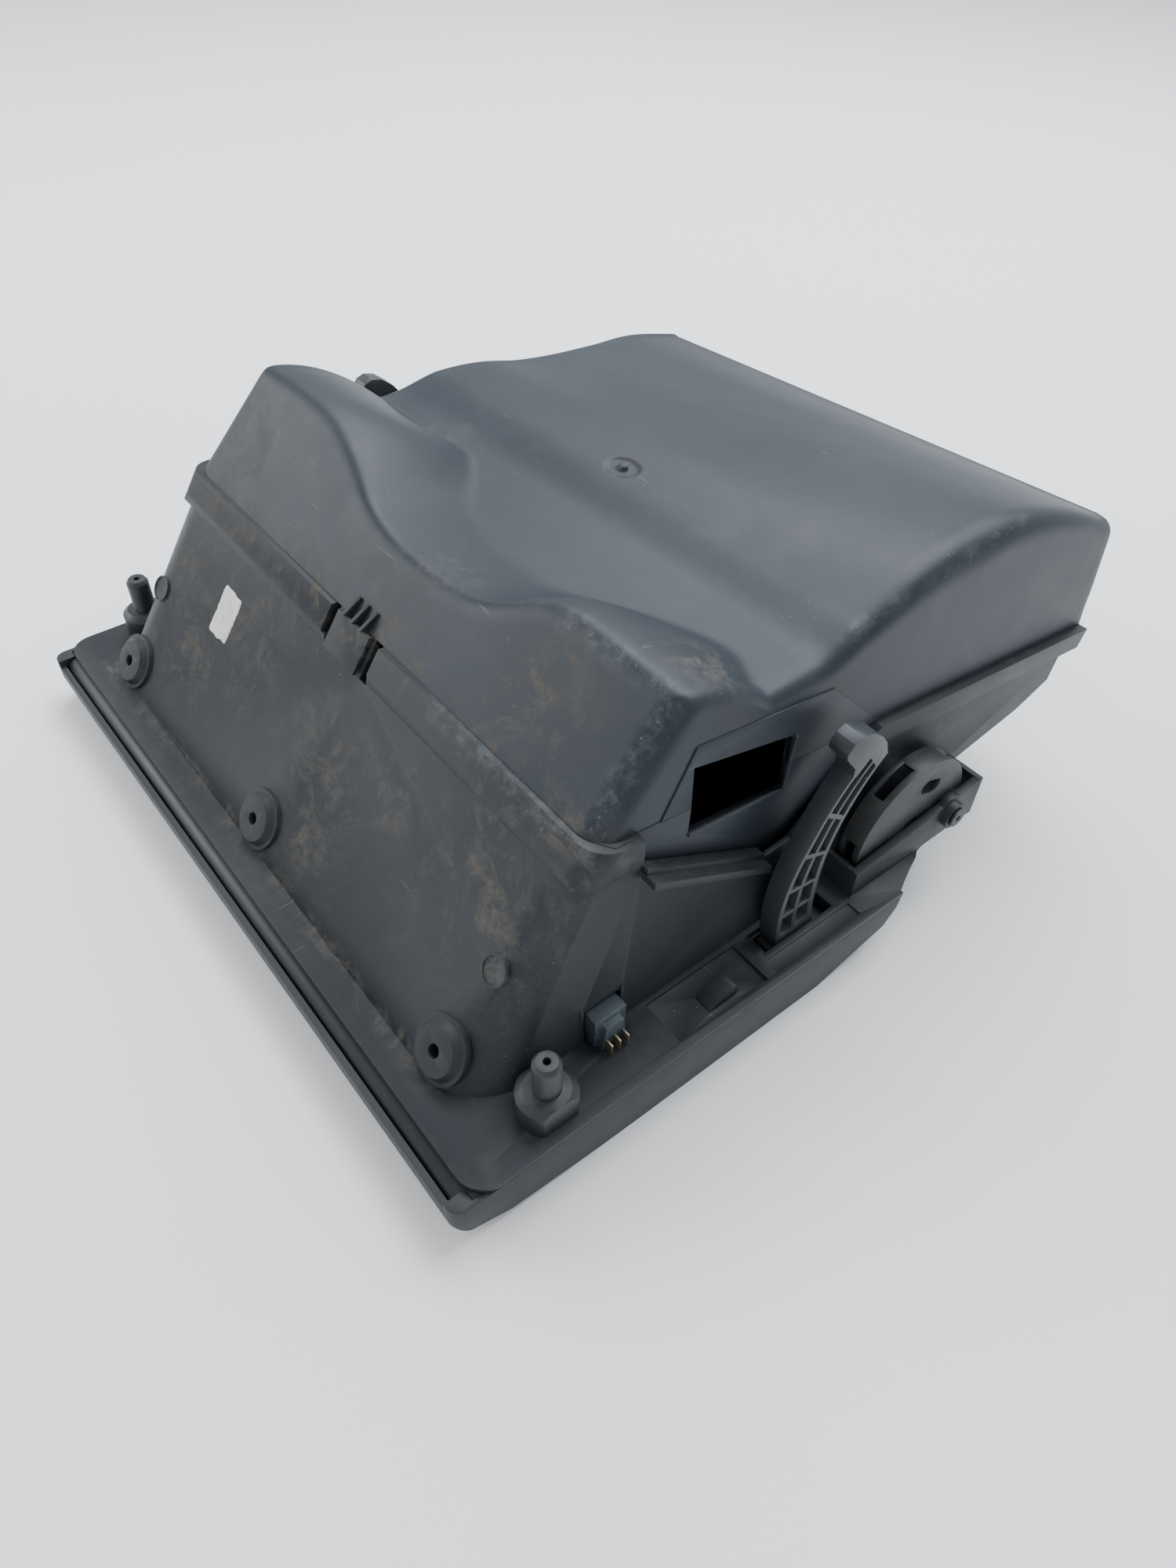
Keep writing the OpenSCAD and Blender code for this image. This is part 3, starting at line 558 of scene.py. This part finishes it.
def upper_shell():
    """The bin roof and its side walls as rows of points across, from the front edge to the rear wall."""
    ys = (steps(PART_Y + 0.15, 0.9, 12) + steps(PART_Y + 11.5, 1.8, 24) + steps(140, 2.6, 28)
          + steps(214, 4.0, 2) + steps(221, 0.7, 30) + steps(244, 5.0, 30) + [394.5, REAR_Y])
    ys = sorted(set(round(min(v, REAR_Y), 2) for v in ys))
    nw, nt = 18, 110
    gate_xs = np.linspace(-15.2, 11.3, 34)
    rows = []
    for y in ys:
        sides = []
        for side in (-1, 1):
            edge_x = half_width(y, 120) - EDGE_R
            roof_z = float(roof_only(np.array(side * edge_x), np.array(y)))
            zt = float(top(np.array(side * edge_x), np.array(y)))
            zp = parting(y)
            col = []
            for k in range(nw + 1):
                t = k / nw
                t = t * 0.8 / 0.55 if t < 0.55 else 1 - ((1 - t) / 0.45) ** 1.8 * 0.2
                z = zp + (zt - zp) * t
                col.append((side * wall_x(y, z, roof_z), y, z))
            sides.append(col)
        left, right = sides
        xs = np.sort(np.concatenate([np.linspace(left[-1][0], right[-1][0], nt + 2)[1:-1], gate_xs]))
        zs = top(xs, np.full_like(xs, y))
        mid = [(float(a), y, float(b)) for a, b in zip(xs, zs)]
        rows.append(left + mid + right[::-1])
    # rounded rear edge, then the rear wall
    last = rows[-1]
    rr = 5.0
    n = len(last)
    for a in (25, 50, 75, 90):
        s, c = math.sin(math.radians(a)), math.cos(math.radians(a))
        cut_in = rr * (1 - c)
        row = []
        for x, y, z in last:
            k = min(1.0, (z - parting(y)) / 20.0)
            row.append((x * (1 - cut_in / 158.0), REAR_Y + rr * s - (1 - k) * rr * s, z - cut_in * k))
        rows.append(row)
    end = rows[-1]
    for k in range(1, 7):
        t = k / 6.0
        row = []
        for x, y, z in end:
            zb = parting(REAR_Y)
            zz = z + (zb - z) * t
            q = (zz - zb) / max(1e-6, 110 - zb)
            row.append((x, 398.3 + min(5.7, 6.5 * q + 0.3), zz))
        rows.append(row)
    verts = [W(*p) for row in rows for p in row]
    faces = []
    for j in range(len(rows) - 1):
        for i in range(n - 1):
            a = j * n + i
            faces.append((a, a + 1, a + n + 1, a + n))
    me = mesh_from("upper_shell_skin", verts, faces)
    bm = bmesh.new()
    bm.from_mesh(me)
    bmesh.ops.remove_doubles(bm, verts=bm.verts, dist=2e-5)
    bmesh.ops.recalc_face_normals(bm, faces=bm.faces)
    if sum(f.normal.z * f.calc_area() for f in bm.faces) < 0:
        bmesh.ops.reverse_faces(bm, faces=bm.faces)
    bm.to_mesh(me)
    bm.free()
    ob = link("upper_shell_skin", me)
    m = ob.modifiers.new("wall", "SOLIDIFY")
    m.thickness = 2.5 * MM
    m.offset = -1
    m.use_even_offset = False
    bake(ob)
    return ob


def bevel(ob, width):
    m = ob.modifiers.new("edge", "BEVEL")
    m.width = width * MM
    m.segments = 2
    m.limit_method = "ANGLE"
    m.angle_limit = math.radians(30)
    bake(ob)
    return ob


def join(ob, *others):
    """Adds the meshes of other objects to one object."""
    bm = bmesh.new()
    bm.from_mesh(ob.data)
    for o in others:
        bm.from_mesh(o.data)
        bpy.data.objects.remove(o)
    bm.to_mesh(ob.data)
    bm.free()
    return ob


def prism_x(name, x0, x1, pts):
    """A plate between two side positions with an outline in depth and height."""
    n = len(pts)
    verts = [W(x0, a, b) for a, b in pts] + [W(x1, a, b) for a, b in pts]
    faces = [tuple(range(n))[::-1], tuple(range(n, 2 * n))]
    faces += [(i, (i + 1) % n, n + (i + 1) % n, n + i) for i in range(n)]
    me = mesh_from(name, verts, faces)
    bm = bmesh.new()
    bm.from_mesh(me)
    bmesh.ops.recalc_face_normals(bm, faces=bm.faces)
    bm.to_mesh(me)
    bm.free()
    return link(name, me)


def cut(ob, cutter):
    """Takes the cutter's solid out of an object."""
    m = ob.modifiers.new("cut", "BOOLEAN")
    m.operation = "DIFFERENCE"
    m.object = cutter
    m.solver = "EXACT"
    bake(ob)
    bpy.data.objects.remove(cutter)
    return ob


# Corners of the lamp opening, depth and height.
LAMP = [(130, 113.2), (183, 100), (181.8, 72.6), (129.6, 80)]


def lean_in(ob):
    """Leans the part above the parting line inward with the shell wall."""
    for v in ob.data.vertices:
        y = (v.co.y - OFF.y) / MM
        z = (v.co.z - OFF.z) / MM
        v.co.x -= 7.4 * max(0.0, z - parting(y)) / 110.0 * MM
    return ob


def lamp_apron():
    """Flat side plate on both sides of the parting line with the thin lip of the lamp opening."""
    front_y = 114.6
    low = prism_x("apron", 159.6, 162.5, [(100, 78), (98, 88), (103, 97.2), (front_y, parting(front_y)),
                                          (238, parting(238)), (221.8, 70),
                                         (202.8, 52), (187.8, 39.5), (171.8, 38)])
    cut(low, prism_x("lamp_cut", 150, 175, LAMP))
    bevel(low, 0.35)
    high = prism_x("panel", 159.6, 162.5, [(front_y, parting(front_y)), (131, 122.5), (205, 112),
                                           (238, parting(238))])
    lean_in(high)
    cut(high, prism_x("lamp_cut", 150, 175, LAMP))
    bevel(high, 0.35)
    lip = [(183, 100), (184.6, 100.4), (183.4, 70.9), (129.2, 78.3), (129.6, 80), (181.8, 72.6)]
    rim = prism_x("rim", 159.4, 163.4, lip)
    bevel(rim, 0.5)
    return low, high, rim


shell = upper_shell()
cut(shell, prism_x("lamp_cut", 135, 180, LAMP))
join(shell, *lamp_apron())
smooth_by_angle(shell.data, 42)
place(shell, "housing", M["shell_plastic"], ("upper_shell",))

# Torn paper label on the leaning front wall.
LEAN = math.radians(34.6)
FOOT_Y = 15.6


def on_front(x, out, along):
    """A point of the front wall by its distance up the slope."""
    return W(x, FOOT_Y + along * math.sin(LEAN) - out * math.cos(LEAN),
             along * math.cos(LEAN) + out * math.sin(LEAN))


def torn_label():
    tear = random.Random(19)
    cx, cy, hw, hh = -90.5, 74.5, 8.8, 12.7
    outline = []
    for i in range(72):
        a = 2 * math.pi * i / 72
        c, s = math.cos(a), math.sin(a)
        k = 1.0 / max(abs(c) / hw, abs(s) / hh)
        bite = max(0.0, noise.noise(Vector((c * 0.9, s * 0.9, 3.1)))) * 4.5 + tear.uniform(0, 0.5)
        k = min(k, math.hypot(hw, hh) * 0.96) - bite
        outline.append((cx + k * c, cy + k * s))
    n = len(outline)
    rings = [(1.0, 0.06), (0.985, 0.30), (0.8, 0.33), (0.45, 0.32), (0.0001, 0.33)]
    verts, faces = [], []
    for f, lift in rings:
        for x, v in outline:
            verts.append(on_front(cx + (x - cx) * f, lift, cy + (v - cy) * f))
    for r in range(len(rings) - 1):
        for i in range(n):
            j = (i + 1) % n
            faces.append((r * n + i, r * n + j, (r + 1) * n + j, (r + 1) * n + i))
    faces.append(tuple(range(n))[::-1])
    ob = link("paper_label_torn", mesh_from("paper_label_torn", verts, faces))
    smooth_by_angle(ob.data, 60)
    return place(ob, "housing", M["label_paper"], ("paper_label",))


torn_label()

# Lower moulding and the rest: copies of the CAD nodes with rounded edges, by edge radius.
soft_width = {"lower_housing": 1.0, "snap_clip": 0.5, "guide_peg_left": 0.9, "guide_peg_right": 0.9,
              "switch_body": 0.6, "stop_arm_left": 0.6, "stop_arm_right": 0.6, "hinge_drum_left": 0.8,
              "hinge_drum_right": 0.8, "lid_outer_skin": 1.2, "lid_inner_liner": 0.7,
              "handle_bezel": 0.6, "latch_handle": 0.7, "latch_bolt": 0.5, "damper_roller_left": 0.4,
              "damper_roller_right": 0.4, "lock_sleeve": 0.5, "lock_cylinder": 0.5,
              "switch_terminals": 0.15, "bolt_guide": 0.4, "liner_screws": 0.2, "stop_buffers": 0.3,
              "handle_spring": 0.2, "hinge_axle_left": 0.4, "hinge_axle_right": 0.4, "handle_pin": 0.3,
              "arm_rivets": 0.4, "switch_plunger": 0.6}
for node, width in soft_width.items():
    from_node(node, node + "_soft", body_of[node], M[slot_of[node]], width)

# ------------------------------------------------------------------ stage, camera, light
def floor():
    """Plain pale studio floor."""
    me = mesh_from("floor", [(-30, -30, 0), (30, -30, 0), (30, 30, 0), (-30, 30, 0)], [(0, 1, 2, 3)])
    ob = link("floor", me)
    n = Nodes("floor_pale")
    a = n.noise(2.0, 4)
    n.put(n.b.inputs["Base Color"], n.mix(a, (0.95, 0.95, 0.95), (0.97, 0.97, 0.97)))
    n.put(n.b.inputs["Roughness"], n.math("MULTIPLY_ADD", a, 0.1, 0.75))
    n.bump([(n.noise(60, 3), 0.0002, 0.1)])
    ob.data.materials.append(n.mat)


floor()

AZ, EL, ROLL = math.radians(50.1), math.radians(45.6), math.radians(2.1)
fwd = Vector((-math.sin(AZ) * math.cos(EL), math.cos(AZ) * math.cos(EL), -math.sin(EL)))
right = Vector((math.cos(AZ), math.sin(AZ), 0.0))
down = fwd.cross(right)
c, s = math.cos(ROLL), math.sin(ROLL)
r2 = right * c - down * s
d2 = right * s + down * c
cam_data = bpy.data.cameras.new("camera")
cam = bpy.data.objects.new("camera", cam_data)
bpy.context.scene.collection.objects.link(cam)
rot = Matrix((r2, -d2, -fwd)).transposed()
cam.matrix_world = Matrix.Translation(W(352.4, -79.5, 390.5)) @ rot.to_4x4()
cam_data.sensor_fit = "AUTO"
cam_data.sensor_width = 36.0
cam_data.lens = 1404.9 / 2000.0 * 36.0
cam_data.clip_start = 0.01
bpy.context.scene.camera = cam


def area(name, loc, aim, size, power, color=(1, 1, 1)):
    d = bpy.data.lights.new(name, "AREA")
    d.shape = "RECTANGLE"
    d.size, d.size_y = size
    d.energy = power
    d.color = color
    ob = bpy.data.objects.new(name, d)
    ob.location = loc
    ob.rotation_euler = (Vector(aim) - Vector(loc)).to_track_quat("-Z", "Y").to_euler()
    bpy.context.scene.collection.objects.link(ob)


area("overhead", (-0.4, 1.0, 1.7), (0, 0.1, 0.1), (2.2, 1.4), 70, (0.90, 0.955, 1.0))
area("left_soft", (-1.4, -1.0, 1.0), (0, 0, 0.1), (1.2, 1.0), 20, (0.97, 0.985, 1.0))
area("front_fill", (1.0, -1.3, 0.8), (0, 0, 0.1), (1.2, 0.8), 1.0, (1.0, 0.98, 0.95))
world = bpy.data.worlds.new("studio")
bpy.context.scene.world = world
world.use_nodes = True
world.node_tree.nodes["Background"].inputs[0].default_value = (0.90, 0.94, 1.0, 1)
world.node_tree.nodes["Background"].inputs[1].default_value = 0.78
